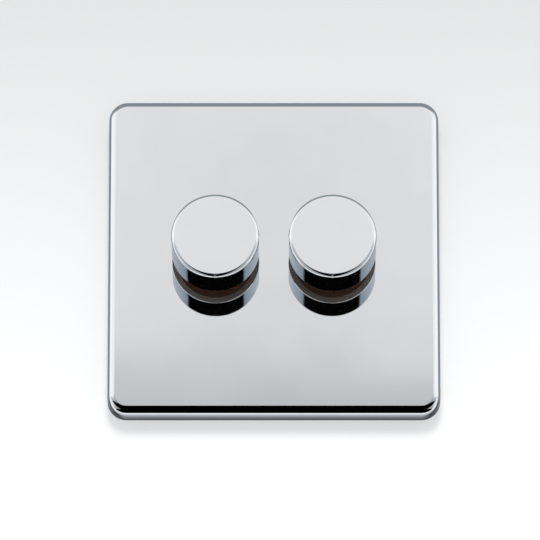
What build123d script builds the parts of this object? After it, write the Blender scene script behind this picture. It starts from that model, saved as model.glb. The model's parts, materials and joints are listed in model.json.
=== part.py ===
from build123d import *
import os

# Two-gang rotary push dimmer on a screwless wall plate, in millimetres.
# X is to the right, Z is up and Y goes into the wall, so the front of the plate faces minus Y.
# The origin is the centre of the plate on the wall surface. Depths are written as a distance
# forward of the wall: positive towards the room, negative into the wall box.
# One gang is built round an axis at X = 0, Z = 0 and is copied to both places at the end.

# Cover plate
plate_size = 86.0
plate_depth = 6.0
plate_sheet = 1.0
plate_corner_radius = 5.0
plate_edge_radius = 2.0
snap_rib_length = 9.0
snap_rib_depth = 0.4
snap_rib_height = 0.6
snap_rib_spacing = 44.0

# Knobs, and where they stand on the plate
knob_pitch = 30.3
knob_diameter = 22.8
knob_height = 11.2
knob_wall = 1.5
knob_crown = 1.8
knob_rim_radius = 0.9
knob_foot_radius = 0.3
hub_diameter = 9.6
hub_recess = 0.4
insert_flange = 2.0
insert_rib_width = 1.2
collet_slit = 0.8
collet_depth = 2.6
knob_clip_thickness = 0.7
knob_clip_height = 1.4
knob_clip_gap = 3.0

# Moving travel
push_travel = 0.8

# Spindle and bush
spindle_diameter = 6.0
spline_teeth = 18
spline_depth = 0.3
spline_tooth_width = 0.5
spline_length = 8.0
spindle_slit = 1.0
spindle_slit_length = 6.0
spindle_collar_width = 1.2
spindle_collar = 1.0
spindle_flats = 4.4
spindle_overhang = 0.9
bush_diameter = 10.0
bush_proud = 1.0
bush_chamfer = 0.5
bush_flange_diameter = 13.0
bush_flange = 1.2

# Yoke, frame and their fixings
yoke_side_margin = 5.85
yoke_end_margin = 2.0
yoke_corner_radius = 4.0
yoke_thickness = 1.2
fixing_centres = 60.3
fixing_thread_diameter = 3.5
fixing_neck_diameter = 3.0
fixing_thread_length = 24.0
fixing_head_diameter = 7.0
fixing_head_height = 2.2
fixing_head_round = 0.7
fixing_slot_length = 6.0
frame_web = 1.4
frame_seat = 7.0
frame_wall = 1.6
frame_pocket_count = 4
frame_pocket_rib = 2.4
stake_diameter = 2.6
stake_head_diameter = 4.4
stake_head = 0.8
stake_side_margin = 5.0
stake_end_margin = 7.0
washer_diameter = 15.0
washer_thickness = 0.5
washer_notches = 12
washer_notch_width = 1.2
washer_notch_depth = 0.8
nut_across_corners = 16.0
nut_thickness = 2.0
nut_chamfer = 0.3

# Module: heat sink, case and circuit board
module_width = 23.0
module_height = 46.0
module_corner_radius = 2.0
sink_thickness = 2.0
pip_diameter = 2.0
pip_height = 1.0
pip_z = 9.4
case_wall = 1.6
case_back_radius = 1.2
case_rib_depth = 1.2
case_rib_width = 2.0
boss_diameter = 4.4
case_screw_side_margin = 3.6
case_screw_end_margin = 3.4
case_screw_diameter = 2.2
case_screw_head_diameter = 4.2
case_screw_head = 1.0
case_screw_grip = 6.0
board_thickness = 1.6
vent_count = 5
vent_width = 12.0
vent_height = 1.4
vent_pitch = 3.2

# Potentiometer
pot_wall = 0.8
pot_floor_thickness = 1.4
stop_post_width = 5.0
rotor_lug = 1.5
rotor_thickness = 2.0
rotor_lug_width = 2.5
wiper_space = 1.4
wiper_thickness = 0.3
wiper_ring_width = 1.3
wiper_arm_width = 1.6
track_inset = 0.8
track_width = 1.4
track_thickness = 0.3
track_gap = 7.6

# Push switch behind the board
switch_width = 14.2
switch_height = 14.2
switch_wall = 1.3
switch_floor_thickness = 1.2
plunger_thickness = 1.6
stem_diameter = 3.0
contact_thickness = 0.4
fixed_contact_width = 3.0
fixed_contact_foot = 1.6
spring_room = 2.9
spring_wire = 0.5
spring_play = 0.65
spring_turns = 3.0

# Triac, capacitor and choke
triac_depth = 4.4
triac_bevel = 0.6
triac_tab_length = 2.2
triac_tab = 1.3
triac_lead = 0.5
triac_lead_pitch = 2.5
capacitor_depth = 7.0
capacitor_bevel = 0.5
choke_bore = 6.0
choke_height = 5.4
winding_thickness = 0.9
winding_angle = 320.0

# Terminals
terminal_depth = 7.4
terminal_length = 8.0
terminal_bore = 3.4
terminal_bore_depth = 3.2
terminal_screw_diameter = 3.0
terminal_head_diameter = 4.6
terminal_head = 1.6
screw_slot = 0.8
screw_slot_depth = 0.7
earth_width = 7.0
earth_height = 6.0
earth_depth = 7.0
earth_rivet_diameter = 3.0

# Fits and clearances
spindle_fit = 0.08
part_fit = 0.1
plate_fit = 0.2
screw_fit = 0.25
shaft_hole_clearance = 1.25
knob_clearance = 3.8
running_gap = 0.2
touch_gap = 0.1
case_gap = 0.3
pot_gap = 0.2
spindle_room = 0.7
device_gap = 0.9
boss_gap = 0.7
earth_gap = 2.0
entry_clearance = 0.8

# Stations along the axis, from the room into the box
knob_foot = plate_depth + push_travel + knob_clearance
knob_front = knob_foot + knob_height
knob_ceiling = knob_front - knob_crown
bush_front = plate_depth + bush_proud
hub_back = knob_foot + hub_recess
flange_back = hub_back + collet_depth + running_gap
spline_start = hub_back - running_gap
spindle_tip = spline_start + spline_length
cover_inside = plate_depth - plate_sheet
washer_front = yoke_thickness + washer_thickness
sink_back = -sink_thickness
bush_back = sink_back - bush_flange
collar_front = bush_back - running_gap
collar_back = collar_front - spindle_collar
rotor_front = collar_back - push_travel - 2 * running_gap
rotor_back = rotor_front - rotor_thickness
pot_floor = rotor_back - wiper_space
track_front = pot_floor + track_thickness
board_front = pot_floor - pot_floor_thickness
board_back = board_front - board_thickness
spindle_tail = board_back - spindle_overhang
plunger_front = spindle_tail - touch_gap
plunger_back = plunger_front - plunger_thickness
ring_back = plunger_back - contact_thickness
contact_front = ring_back - push_travel - touch_gap
contact_back = contact_front - contact_thickness
switch_floor = contact_back - spring_room
switch_back = switch_floor - switch_floor_thickness
stem_back = switch_back + running_gap
case_inside = switch_back - push_travel - running_gap
case_back = case_inside - case_wall

# Sizes that follow from the ones above
plate_inside = plate_size - 2 * plate_sheet
frame_size = plate_inside - 2 * plate_fit
earth_z = module_height / 2 + earth_gap + earth_height / 2
yoke_width = fixing_centres + 2 * yoke_side_margin
yoke_height = 2 * (earth_z + earth_height / 2 + yoke_end_margin)
frame_window_width = fixing_centres - fixing_head_diameter - 2 * (2 * screw_fit + frame_web)
frame_window_height = yoke_height - 2 * frame_seat
stake_x = yoke_width / 2 - stake_side_margin
stake_z = yoke_height / 2 - stake_end_margin
frame_corner_radius = plate_corner_radius - plate_sheet - plate_fit
frame_edge_radius = plate_edge_radius - plate_sheet + plate_fit
recess_width = yoke_width + 2 * plate_fit
recess_height = yoke_height + 2 * plate_fit
snap_rib_back = yoke_thickness - snap_rib_height
snap_notch_front = yoke_thickness + plate_fit
shaft_hole_diameter = bush_diameter + 2 * shaft_hole_clearance
bush_hole_diameter = bush_diameter + 2 * part_fit
spindle_radius = spindle_diameter / 2
spline_root_radius = spindle_radius - spline_depth
hub_radius = hub_diameter / 2
insert_radius = knob_diameter / 2 - knob_wall - part_fit
clip_inner_radius = hub_radius + touch_gap / 2
clip_outer_radius = clip_inner_radius + knob_clip_thickness
inside_width = module_width - 2 * case_wall
inside_height = module_height - 2 * case_wall
board_width = inside_width - 2 * case_gap
board_height = inside_height - 2 * case_gap
board_hole_diameter = spindle_diameter + 2 * spindle_room
case_screw_x = module_width / 2 - case_screw_side_margin
case_screw_z = module_height / 2 - case_screw_end_margin
case_rib_z = board_height / 4
pot_radius = inside_width / 2 - pot_gap
pot_inside_radius = pot_radius - pot_wall
rotor_lug_radius = pot_inside_radius - running_gap
rotor_radius = rotor_lug_radius - rotor_lug
track_mean_radius = rotor_radius - track_inset
stop_post_radius = rotor_radius + running_gap
flats_hole = spindle_flats + 2 * part_fit
flats_hole_radius = spindle_radius + part_fit
terminal_pitch = (inside_width - case_gap) / 3
terminal_width = terminal_pitch - device_gap
terminal_bottom = -inside_height / 2 + case_gap
terminal_back = board_back - terminal_depth
entry_width = 2 * terminal_pitch + terminal_width
terminal_bore_forward = board_back - terminal_bore_depth
terminal_head_back = terminal_back - terminal_head
earth_head_back = -earth_depth - terminal_head
switch_inside_width = switch_width - 2 * switch_wall
switch_inside_height = switch_height - 2 * switch_wall
fixed_contact_outer = switch_inside_width / 2 - touch_gap
fixed_contact_inner = fixed_contact_outer - fixed_contact_foot
ring_diameter = 2 * (fixed_contact_outer - contact_thickness - running_gap)
plunger_diameter = switch_inside_height - 2 * device_gap
spring_mean_radius = stem_diameter / 2 + spring_play + spring_wire / 2
spring_length = ring_back - switch_floor - spring_wire - touch_gap
spindle_collar_diameter = spindle_diameter + 2 * spindle_collar_width
device_width = 2 * (case_screw_x - boss_diameter / 2 - boss_gap)
triac_bottom = pot_radius + device_gap
triac_tab_top = inside_height / 2 - 2 * case_gap
triac_top = triac_tab_top - triac_tab_length
capacitor_top = -pot_radius - device_gap
capacitor_bottom = -case_screw_z + boss_diameter / 4
capacitor_height = capacitor_top - capacitor_bottom
capacitor_z = (capacitor_top + capacitor_bottom) / 2
choke_z = (inside_height + switch_height) / 4
winding_outer = (inside_height - switch_height) / 4 - boss_gap
choke_diameter = 2 * (winding_outer - winding_thickness)
choke_front = board_back - winding_thickness
winding_inner = choke_bore / 2 - winding_thickness
vent_z = choke_z

# Places that more than one piece uses
shaft_places = [(-knob_pitch / 2, 0), (knob_pitch / 2, 0)]
pip_places = [(-knob_pitch / 2, pip_z), (knob_pitch / 2, pip_z)]
fixing_places = [(-fixing_centres / 2, 0), (fixing_centres / 2, 0)]
stake_places = [(x, z) for x in (-stake_x, stake_x) for z in (-stake_z, stake_z)]
snap_places = [(x, z) for x in (-1, 1) for z in (-snap_rib_spacing / 2, snap_rib_spacing / 2)]
case_screw_places = [(-case_screw_x, case_screw_z), (case_screw_x, -case_screw_z)]
terminal_places = [-terminal_pitch, 0, terminal_pitch]
turned = Plane(origin=(0, 0, 0), x_dir=(1, 0, 0), z_dir=(0, 0, -1))


def facing(forward):
    """Sketch plane that looks into the room, at a distance forward of the wall."""
    return Plane.XZ.offset(forward)


# Cover plate: a pressed shell with a rounded front edge, two shaft holes and four snap ribs
with BuildPart() as cover_plate:
    with BuildSketch(facing(0)):
        RectangleRounded(plate_size, plate_size, plate_corner_radius)
    extrude(amount=plate_depth)
    fillet(cover_plate.faces().sort_by(Axis.Y)[0].edges(), radius=plate_edge_radius)
    with BuildSketch(facing(0)):
        RectangleRounded(plate_inside, plate_inside, plate_corner_radius - plate_sheet)
    extrude(amount=cover_inside, mode=Mode.SUBTRACT)
    fillet(
        cover_plate.faces().filter_by(Axis.Y).sort_by(Axis.Y)[1].edges(),
        radius=plate_edge_radius - plate_sheet,
    )
    with BuildSketch(facing(cover_inside)):
        with Locations(*shaft_places):
            Circle(shaft_hole_diameter / 2)
    extrude(amount=plate_sheet, mode=Mode.SUBTRACT)
    with BuildSketch(facing(snap_rib_back)):
        for side, z in snap_places:
            with Locations((side * (plate_inside + plate_sheet - snap_rib_depth) / 2, z)):
                Rectangle(snap_rib_depth + plate_sheet, snap_rib_length)
    extrude(amount=snap_rib_height)
cover_plate.part.label = "cover_plate"

# Clip frame: the moulding that carries the cover, staked to the yoke
with BuildPart() as clip_frame:
    with BuildSketch(facing(0)):
        RectangleRounded(frame_size, frame_size, frame_corner_radius)
    extrude(amount=cover_inside)
    fillet(clip_frame.faces().sort_by(Axis.Y)[0].edges(), radius=frame_edge_radius)
    with BuildSketch(facing(0)):
        RectangleRounded(recess_width, recess_height, yoke_corner_radius + plate_fit)
    extrude(amount=yoke_thickness, mode=Mode.SUBTRACT)
    with BuildSketch(facing(0)):
        RectangleRounded(frame_window_width, frame_window_height, yoke_corner_radius)
        with Locations(*fixing_places):
            Circle(fixing_head_diameter / 2 + 2 * screw_fit)
    extrude(amount=cover_inside, mode=Mode.SUBTRACT)
    # Lightening pockets at the back, above and below the yoke
    with BuildSketch(facing(0)):
        pocket_height = (frame_size - recess_height) / 2 - 2 * frame_wall
        pocket_width = (recess_width - frame_pocket_rib) / frame_pocket_count - frame_pocket_rib
        for z in (-(frame_size + recess_height) / 4, (frame_size + recess_height) / 4):
            with Locations((0, z)):
                with GridLocations(pocket_width + frame_pocket_rib, 0, frame_pocket_count, 1):
                    Rectangle(pocket_width, pocket_height)
    extrude(amount=cover_inside - frame_wall, mode=Mode.SUBTRACT)
    # Notches behind the snap edges, where the ribs of the cover lie
    with BuildSketch(facing(0)):
        for side, z in snap_places:
            with Locations((side * (frame_size / 2 - snap_rib_depth), z)):
                Rectangle(2 * snap_rib_depth, snap_rib_length + 2 * screw_fit)
    extrude(amount=snap_notch_front, mode=Mode.SUBTRACT)
    with BuildSketch(facing(yoke_thickness)):
        with Locations(*stake_places):
            Circle(stake_diameter / 2)
    extrude(amount=-yoke_thickness)
    with BuildSketch(facing(0)):
        with Locations(*stake_places):
            Circle(stake_head_diameter / 2)
    extrude(amount=-stake_head)
clip_frame.part.label = "clip_frame"

# Mounting yoke: the flat steel plate that the box screws, the modules and the frame hold to
with BuildPart() as mounting_yoke:
    with BuildSketch(facing(0)):
        RectangleRounded(yoke_width, yoke_height, yoke_corner_radius)
        with Locations(*shaft_places):
            Circle(bush_hole_diameter / 2, mode=Mode.SUBTRACT)
        with Locations(*pip_places):
            Circle(pip_diameter / 2 + part_fit, mode=Mode.SUBTRACT)
        with Locations(*stake_places):
            Circle(stake_diameter / 2 + part_fit, mode=Mode.SUBTRACT)
        with Locations(*fixing_places):
            SlotOverall(
                fixing_slot_length,
                fixing_thread_diameter + 2 * screw_fit,
                rotation=90,
                mode=Mode.SUBTRACT,
            )
        with Locations((0, earth_z)):
            Circle(earth_rivet_diameter / 2 + part_fit, mode=Mode.SUBTRACT)
    extrude(amount=yoke_thickness)
mounting_yoke.part.label = "mounting_yoke"

# Two box screws: slotted pan heads on the yoke, a thin neck through it and the thread behind it
with BuildPart() as fixing_screws:
    with BuildSketch(facing(yoke_thickness)):
        with Locations(*fixing_places):
            Circle(fixing_head_diameter / 2)
    extrude(amount=fixing_head_height)
    fillet(
        fixing_screws.faces().filter_by(Axis.Y).group_by(Axis.Y)[0].edges(),
        radius=fixing_head_round,
    )
    with BuildSketch(facing(0)):
        with Locations(*fixing_places):
            Circle(fixing_neck_diameter / 2)
    extrude(amount=yoke_thickness)
    with BuildSketch(facing(0)):
        with Locations(*fixing_places):
            Circle(fixing_thread_diameter / 2)
    extrude(amount=-fixing_thread_length)
    with BuildSketch(facing(yoke_thickness + fixing_head_height)):
        with Locations(*fixing_places):
            Rectangle(fixing_head_diameter, screw_slot)
    extrude(amount=-screw_slot_depth, mode=Mode.SUBTRACT)
fixing_screws.part.label = "fixing_screws"

# Earth clamp: a brass block riveted to the back of the yoke, with its wire bore along X
with BuildPart() as earth_clamp:
    with BuildSketch(facing(0)):
        with Locations((0, earth_z)):
            Rectangle(earth_width, earth_height)
    extrude(amount=-earth_depth)
    with BuildSketch(facing(0)):
        with Locations((0, earth_z)):
            Circle(earth_rivet_diameter / 2)
    extrude(amount=yoke_thickness)
    with BuildSketch(Plane.YZ.offset(-earth_width / 2)):
        with Locations((terminal_bore_depth, earth_z)):
            Circle(terminal_bore / 2)
    extrude(amount=earth_width, mode=Mode.SUBTRACT)
    with BuildSketch(facing(-earth_depth)):
        with Locations((0, earth_z)):
            Circle(terminal_screw_diameter / 2 + part_fit / 2)
    extrude(amount=earth_depth - terminal_bore_depth, mode=Mode.SUBTRACT)
earth_clamp.part.label = "earth_clamp"

# Earth screw: bears on the wire from the back
with BuildPart() as earth_screw:
    with BuildSketch(facing(-earth_depth)):
        with Locations((0, earth_z)):
            Circle(terminal_screw_diameter / 2)
    extrude(amount=earth_depth - terminal_bore_depth - terminal_bore / 2 - touch_gap)
    with BuildSketch(facing(earth_head_back)):
        with Locations((0, earth_z)):
            Circle(terminal_head_diameter / 2)
    extrude(amount=terminal_head)
    with BuildSketch(facing(earth_head_back)):
        with Locations((0, earth_z)):
            Rectangle(terminal_head_diameter, screw_slot)
    extrude(amount=screw_slot_depth, mode=Mode.SUBTRACT)
earth_screw.part.label = "earth_screw"

# Knob cap: a plain metal cup with a rounded rim
with BuildPart() as knob_cap:
    with BuildSketch(facing(knob_foot)):
        Circle(knob_diameter / 2)
    extrude(amount=knob_height)
    fillet(knob_cap.faces().sort_by(Axis.Y)[0].edges(), radius=knob_rim_radius)
    fillet(knob_cap.faces().sort_by(Axis.Y)[-1].edges(), radius=knob_foot_radius)
    with BuildSketch(facing(knob_foot)):
        Circle(knob_diameter / 2 - knob_wall)
    extrude(amount=knob_height - knob_crown, mode=Mode.SUBTRACT)

# Knob insert: a moulded hub with a splined bore, split at its end, and a flange on ribs in the cap
with BuildPart() as knob_insert:
    with BuildSketch(facing(hub_back)):
        Circle(hub_radius)
    extrude(amount=knob_ceiling - hub_back)
    with BuildSketch(facing(flange_back)):
        Circle(insert_radius)
    extrude(amount=insert_flange)
    with BuildSketch(facing(flange_back)):
        Rectangle(2 * insert_radius - part_fit, insert_rib_width)
        Rectangle(insert_rib_width, 2 * insert_radius - part_fit)
    extrude(amount=knob_ceiling - flange_back)
    with BuildSketch(facing(hub_back)):
        Rectangle(collet_slit, hub_diameter)
    extrude(amount=collet_depth, mode=Mode.SUBTRACT)
    with BuildSketch(facing(hub_back)):
        Circle(spline_root_radius + part_fit)
        with PolarLocations(spline_root_radius, spline_teeth):
            Rectangle(2 * (spline_depth + part_fit), spline_tooth_width + 2 * part_fit)
    extrude(amount=spindle_tip + running_gap - hub_back, mode=Mode.SUBTRACT)

# Knob clip: the open spring ring that closes the split hub on the spindle
with BuildPart() as knob_clip:
    with BuildSketch(facing(hub_back + running_gap)):
        Circle(clip_outer_radius)
        Circle(clip_inner_radius, mode=Mode.SUBTRACT)
        with Locations((clip_outer_radius, 0)):
            Rectangle(clip_outer_radius, knob_clip_gap, mode=Mode.SUBTRACT)
    extrude(amount=knob_clip_height)

# Spindle: flats for the rotor, a collar behind the bush, a round journal and a split splined end
with BuildPart() as spindle:
    with BuildSketch(facing(spindle_tail)):
        Circle(spindle_radius)
        Rectangle(spindle_flats, spindle_diameter, mode=Mode.INTERSECT)
    extrude(amount=collar_back - spindle_tail)
    with BuildSketch(facing(collar_back)):
        Circle(spindle_collar_diameter / 2)
    extrude(amount=spindle_collar)
    with BuildSketch(facing(collar_front)):
        Circle(spindle_radius)
    extrude(amount=spline_start - collar_front)
    with BuildSketch(facing(spline_start)):
        Circle(spline_root_radius)
        with PolarLocations(spline_root_radius, spline_teeth):
            Rectangle(2 * spline_depth, spline_tooth_width)
        Circle(spindle_radius, mode=Mode.INTERSECT)
    extrude(amount=spline_length)
    with BuildSketch(facing(spindle_tip)):
        Rectangle(spindle_slit, 2 * spindle_diameter)
    extrude(amount=-spindle_slit_length, mode=Mode.SUBTRACT)

# Bush: flanged behind the heat sink and clamped by the nut in front of the yoke
with BuildPart() as bush:
    with BuildSketch(turned):
        with BuildLine():
            Polyline(
                (spindle_radius + spindle_fit, bush_back),
                (bush_flange_diameter / 2, bush_back),
                (bush_flange_diameter / 2, sink_back),
                (bush_diameter / 2, sink_back),
                (bush_diameter / 2, bush_front - bush_chamfer),
                (bush_diameter / 2 - bush_chamfer, bush_front),
                (spindle_radius + spindle_fit, bush_front),
                close=True,
            )
        make_face()
    revolve(axis=Axis.Y)

# Lock washer with notched rim, under the nut
with BuildPart() as lock_washer:
    with BuildSketch(facing(yoke_thickness)):
        Circle(washer_diameter / 2)
        Circle(bush_hole_diameter / 2, mode=Mode.SUBTRACT)
        with PolarLocations(washer_diameter / 2, washer_notches):
            Rectangle(2 * washer_notch_depth, washer_notch_width, mode=Mode.SUBTRACT)
    extrude(amount=washer_thickness)

# Hexagon nut
with BuildPart() as hex_nut:
    with BuildSketch(facing(washer_front)):
        RegularPolygon(nut_across_corners / 2, 6, rotation=30)
        Circle(bush_diameter / 2 + part_fit, mode=Mode.SUBTRACT)
    extrude(amount=nut_thickness)
    chamfer(
        hex_nut.faces().sort_by(Axis.Y)[0].outer_wire().edges(),
        length=nut_chamfer,
    )

# Heat sink: aluminium plate between the yoke and the case, with a pip that stops it turning
with BuildPart() as heat_sink:
    with BuildSketch(facing(sink_back)):
        RectangleRounded(module_width, module_height, module_corner_radius)
        Circle(bush_hole_diameter / 2, mode=Mode.SUBTRACT)
        with Locations(*case_screw_places):
            Circle(case_screw_diameter / 2 + part_fit, mode=Mode.SUBTRACT)
    extrude(amount=sink_thickness)
    for x, z in case_screw_places:
        with BuildSketch(facing(0)):
            with Locations((x, z)):
                Circle(case_screw_head_diameter / 2 + part_fit)
        with BuildSketch(facing(-case_screw_head - touch_gap)):
            with Locations((x, z)):
                Circle(case_screw_diameter / 2 + part_fit)
        loft(mode=Mode.SUBTRACT)
    with BuildSketch(facing(0)):
        with Locations((0, pip_z)):
            Circle(pip_diameter / 2)
    extrude(amount=pip_height)

# Case screws: countersunk, through the heat sink into the bosses of the case
with BuildPart() as case_screws:
    for x, z in case_screw_places:
        with BuildSketch(facing(-touch_gap)):
            with Locations((x, z)):
                Circle(case_screw_head_diameter / 2)
        with BuildSketch(facing(-case_screw_head - touch_gap)):
            with Locations((x, z)):
                Circle(case_screw_diameter / 2)
        loft()
    with BuildSketch(facing(-case_screw_head - touch_gap)):
        with Locations(*case_screw_places):
            Circle(case_screw_diameter / 2)
    extrude(amount=-(sink_thickness - case_screw_head + case_screw_grip))
    with BuildSketch(facing(-touch_gap)):
        with Locations(*case_screw_places):
            Rectangle(case_screw_head_diameter, screw_slot)
    extrude(amount=-screw_slot_depth, mode=Mode.SUBTRACT)

# Rear case: a moulded box with screw bosses, ribs behind the board, a wire entry below, and
# screwdriver holes and vents at the back
with BuildPart() as rear_case:
    with BuildSketch(facing(case_back)):
        RectangleRounded(module_width, module_height, module_corner_radius)
    extrude(amount=sink_back - case_back)
    fillet(rear_case.faces().sort_by(Axis.Y)[-1].edges(), radius=case_back_radius)
    with BuildSketch(facing(case_inside)):
        RectangleRounded(inside_width, inside_height, module_corner_radius / 2)
    extrude(amount=sink_back - case_inside, mode=Mode.SUBTRACT)
    with BuildSketch(facing(board_front)):
        with Locations(*case_screw_places):
            Circle(boss_diameter / 2)
    extrude(amount=sink_back - board_front)
    with BuildSketch(facing(board_front)):
        with Locations(*case_screw_places):
            Circle(case_screw_diameter / 2 + part_fit / 2)
    extrude(amount=sink_back - board_front, mode=Mode.SUBTRACT)
    with BuildSketch(facing(case_inside)):
        for x in (-1, 1):
            for z in (-case_rib_z, case_rib_z):
                with Locations((x * (inside_width + case_wall - case_rib_depth) / 2, z)):
                    Rectangle(case_rib_depth + case_wall, case_rib_width)
    extrude(amount=board_back - case_inside)
    with BuildSketch(facing(case_back)):
        with Locations(*[(x, terminal_bottom + terminal_length / 2) for x in terminal_places]):
            Circle(terminal_head_diameter / 2 + case_gap)
    extrude(amount=case_wall, mode=Mode.SUBTRACT)
    with BuildSketch(Plane.XY.offset(-module_height / 2)):
        with Locations((0, -terminal_bore_forward)):
            RectangleRounded(entry_width, terminal_bore + 2 * entry_clearance, entry_clearance)
    extrude(amount=case_wall, mode=Mode.SUBTRACT)
    # Vent slots over the choke
    with BuildSketch(facing(case_back)):
        with Locations((0, vent_z)):
            with GridLocations(0, vent_pitch, 1, vent_count):
                SlotOverall(vent_width, vent_height)
    extrude(amount=case_wall, mode=Mode.SUBTRACT)

# Circuit board
with BuildPart() as circuit_board:
    with BuildSketch(facing(board_back)):
        RectangleRounded(board_width, board_height, module_corner_radius / 2)
        Circle(board_hole_diameter / 2, mode=Mode.SUBTRACT)
    extrude(amount=board_thickness)

# Potentiometer base: a cup from the board to the heat sink, with the stop post inside its wall
with BuildPart() as pot_base:
    with BuildSketch(facing(board_front)):
        Circle(pot_radius)
        Circle(board_hole_diameter / 2, mode=Mode.SUBTRACT)
    extrude(amount=sink_back - board_front)
    with BuildSketch(facing(pot_floor)):
        Circle(pot_inside_radius)
    extrude(amount=sink_back - pot_floor, mode=Mode.SUBTRACT)
    with BuildSketch(facing(pot_floor)):
        with Locations((0, -pot_radius / 2)):
            Rectangle(stop_post_width, pot_radius)
        Circle(pot_inside_radius + pot_wall / 2, mode=Mode.INTERSECT)
        Circle(stop_post_radius, mode=Mode.SUBTRACT)
    extrude(amount=rotor_front + running_gap - pot_floor)

# Resistive track: a horseshoe on the floor of the cup, open at the stop
with BuildPart() as resistive_track:
    with BuildSketch(facing(pot_floor)):
        Circle(track_mean_radius + track_width / 2)
        Circle(track_mean_radius - track_width / 2, mode=Mode.SUBTRACT)
        with Locations((0, -track_mean_radius)):
            Rectangle(track_gap, 2 * track_width + track_mean_radius, mode=Mode.SUBTRACT)
    extrude(amount=track_thickness)

# Rotor: slides along the flats of the spindle, and its lug meets the stop post
with BuildPart() as rotor:
    with BuildSketch(facing(rotor_back)):
        Circle(rotor_lug_radius)
        Rectangle(rotor_lug_width, 2 * rotor_lug_radius, mode=Mode.INTERSECT)
        with Locations((0, -rotor_lug_radius / 2)):
            Rectangle(rotor_lug_width, rotor_lug_radius, mode=Mode.SUBTRACT)
        Circle(rotor_radius)
    extrude(amount=rotor_thickness)
    with BuildSketch(facing(rotor_back)):
        Circle(flats_hole_radius)
        Rectangle(flats_hole, 2 * flats_hole_radius, mode=Mode.INTERSECT)
    extrude(amount=rotor_thickness, mode=Mode.SUBTRACT)

# Wiper: a ring under the rotor with an arm that reaches down to the track
with BuildPart() as wiper:
    with BuildSketch(facing(rotor_back)):
        Circle(flats_hole_radius + wiper_ring_width)
        with Locations((0, track_mean_radius / 2)):
            Rectangle(wiper_arm_width, track_mean_radius + wiper_thickness)
        Circle(flats_hole_radius + touch_gap, mode=Mode.SUBTRACT)
    extrude(amount=-wiper_thickness)
    with BuildSketch(facing(rotor_back)):
        with Locations((0, track_mean_radius)):
            Rectangle(wiper_arm_width, wiper_thickness)
    extrude(amount=track_front + touch_gap - rotor_back)

# Push switch base: a tray on the back of the board with a guide hole for the plunger stem
with BuildPart() as switch_base:
    with BuildSketch(facing(switch_back)):
        Rectangle(switch_width, switch_height)
    extrude(amount=board_back - switch_back)
    fillet(switch_base.edges().filter_by(Axis.Y), radius=switch_wall / 2)
    with BuildSketch(facing(switch_floor)):
        Rectangle(switch_inside_width, switch_inside_height)
    extrude(amount=board_back - switch_floor, mode=Mode.SUBTRACT)
    with BuildSketch(facing(switch_back)):
        Circle(stem_diameter / 2 + part_fit)
    extrude(amount=switch_floor_thickness, mode=Mode.SUBTRACT)

# Plunger: rides on the tail of the spindle and turns with it
with BuildPart() as plunger:
    with BuildSketch(facing(plunger_back)):
        Circle(plunger_diameter / 2)
    extrude(amount=plunger_thickness)
    with BuildSketch(facing(stem_back)):
        Circle(stem_diameter / 2)
    extrude(amount=plunger_back - stem_back)

# Contact ring: turns with the plunger and joins both fixed contacts when it is pushed down
with BuildPart() as contact_ring:
    with BuildSketch(facing(ring_back)):
        Circle(ring_diameter / 2)
        Circle(stem_diameter / 2 + part_fit, mode=Mode.SUBTRACT)
    extrude(amount=contact_thickness)

# Fixed contacts: two angles inside the tray, standing on the board
with BuildPart() as fixed_contacts:
    with BuildSketch(facing(contact_back)):
        for x in (-1, 1):
            with Locations((x * (fixed_contact_outer + fixed_contact_inner) / 2, 0)):
                Rectangle(fixed_contact_foot, fixed_contact_width)
    extrude(amount=contact_thickness)
    with BuildSketch(facing(contact_back)):
        for x in (-1, 1):
            with Locations((x * (fixed_contact_outer - contact_thickness / 2), 0)):
                Rectangle(contact_thickness, fixed_contact_width)
    extrude(amount=board_back - contact_back)

# Return spring: square wire, round the plunger stem
spring_foot = switch_floor + (spring_wire + touch_gap) / 2
with BuildPart() as return_spring:
    with BuildLine() as spring_path:
        Helix(
            spring_length / spring_turns,
            spring_length,
            spring_mean_radius,
            center=(0, -spring_foot, 0),
            direction=(0, -1, 0),
        )
    spring_start = spring_path.line @ 0
    spring_way = spring_path.line % 0
    spring_out = (spring_start.X, 0, spring_start.Z)
    with BuildSketch(Plane(origin=spring_start, x_dir=spring_out, z_dir=spring_way)):
        Rectangle(spring_wire, spring_wire)
    sweep(is_frenet=True)

# Triac: its tab lies on the heat sink and three leads go back to the board
with BuildPart() as triac:
    with BuildSketch(facing(sink_back)):
        with Locations((0, (triac_bottom + triac_top) / 2)):
            Rectangle(device_width, triac_top - triac_bottom)
    extrude(amount=-triac_depth)
    chamfer(triac.faces().sort_by(Axis.Y)[-1].edges(), length=triac_bevel)
    with BuildSketch(facing(sink_back)):
        with Locations((0, (triac_bottom + triac_tab_top) / 2)):
            Rectangle(device_width, triac_tab_top - triac_bottom)
    extrude(amount=-triac_tab)
    with BuildSketch(facing(board_front)):
        with Locations((0, triac_bottom - triac_lead / 2)):
            with GridLocations(triac_lead_pitch, 0, 3, 1):
                Rectangle(2 * triac_lead, triac_lead)
    extrude(amount=sink_back - triac_tab - board_front)

# Capacitor on the front of the board
with BuildPart() as capacitor:
    with BuildSketch(facing(board_front)):
        with Locations((0, capacitor_z)):
            Rectangle(device_width, capacitor_height)
    extrude(amount=capacitor_depth)
    chamfer(capacitor.faces().sort_by(Axis.Y)[0].edges(), length=capacitor_bevel)

# Choke: a ring core with its winding round it, on the back of the board
with BuildPart() as choke_core:
    with BuildSketch(facing(choke_front)):
        with Locations((0, choke_z)):
            Circle(choke_diameter / 2)
            Circle(choke_bore / 2, mode=Mode.SUBTRACT)
    extrude(amount=-choke_height)

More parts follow.
